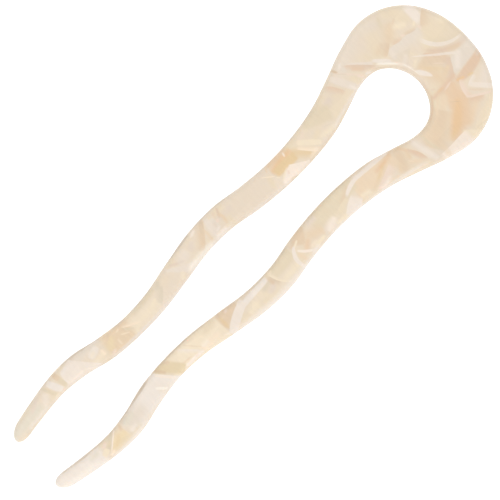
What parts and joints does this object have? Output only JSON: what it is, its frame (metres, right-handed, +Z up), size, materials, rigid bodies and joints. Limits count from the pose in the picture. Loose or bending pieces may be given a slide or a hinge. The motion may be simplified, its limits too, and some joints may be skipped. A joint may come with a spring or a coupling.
{
  "type": "hair fork",
  "caption": "Wavy U-shaped hair fork of pearly cream acetate with a broad rounded crown and slim tapering prongs, for pinning up a bun.",
  "frame": {"origin": "centre of the bounding box's bottom: midway between the prongs and midway along the length, on the face that the fork lies on", "axes": "+Z up through the sheet's thickness, +Y along the fork from the prong tips to the crown, +X across both prongs"},
  "size_m": [0.0366, 0.135, 0.004],
  "materials": {
    "pearl_acetate": "polished cellulose acetate, cream pearl with pale veins and soft tan patches"
  },
  "bodies": {
    "root": {"fork": "pearl_acetate"}
  },
  "joints": []
}
